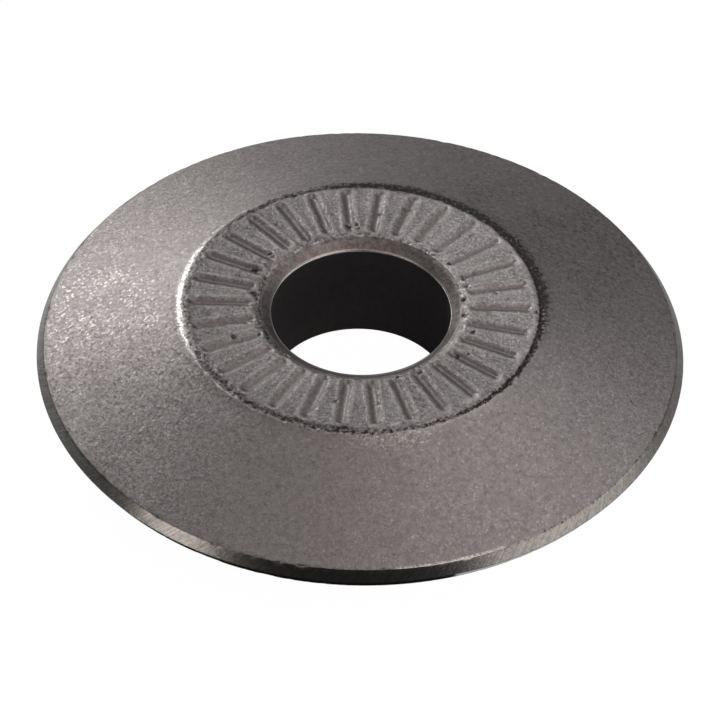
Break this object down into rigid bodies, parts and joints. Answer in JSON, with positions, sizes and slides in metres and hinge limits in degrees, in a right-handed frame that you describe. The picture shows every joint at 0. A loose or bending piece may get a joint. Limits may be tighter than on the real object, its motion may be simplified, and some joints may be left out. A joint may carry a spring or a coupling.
{
  "type": "carbide cutting wheel",
  "caption": "Small scoring wheel of sintered carbide: flat hub with a plain bore, conical flanks and a ground cutting edge.",
  "frame": {"origin": "middle of the bore, half way between the two hub faces", "axes": "+Z along the bore axis, out of the hub face that carries the ring of sunk strokes; +X along one of the strokes"},
  "size_m": [0.022, 0.022, 0.0044],
  "materials": {
    "sintered_carbide": "matte"
  },
  "bodies": {
    "root": {"cutting_wheel": "sintered_carbide"}
  },
  "joints": []
}
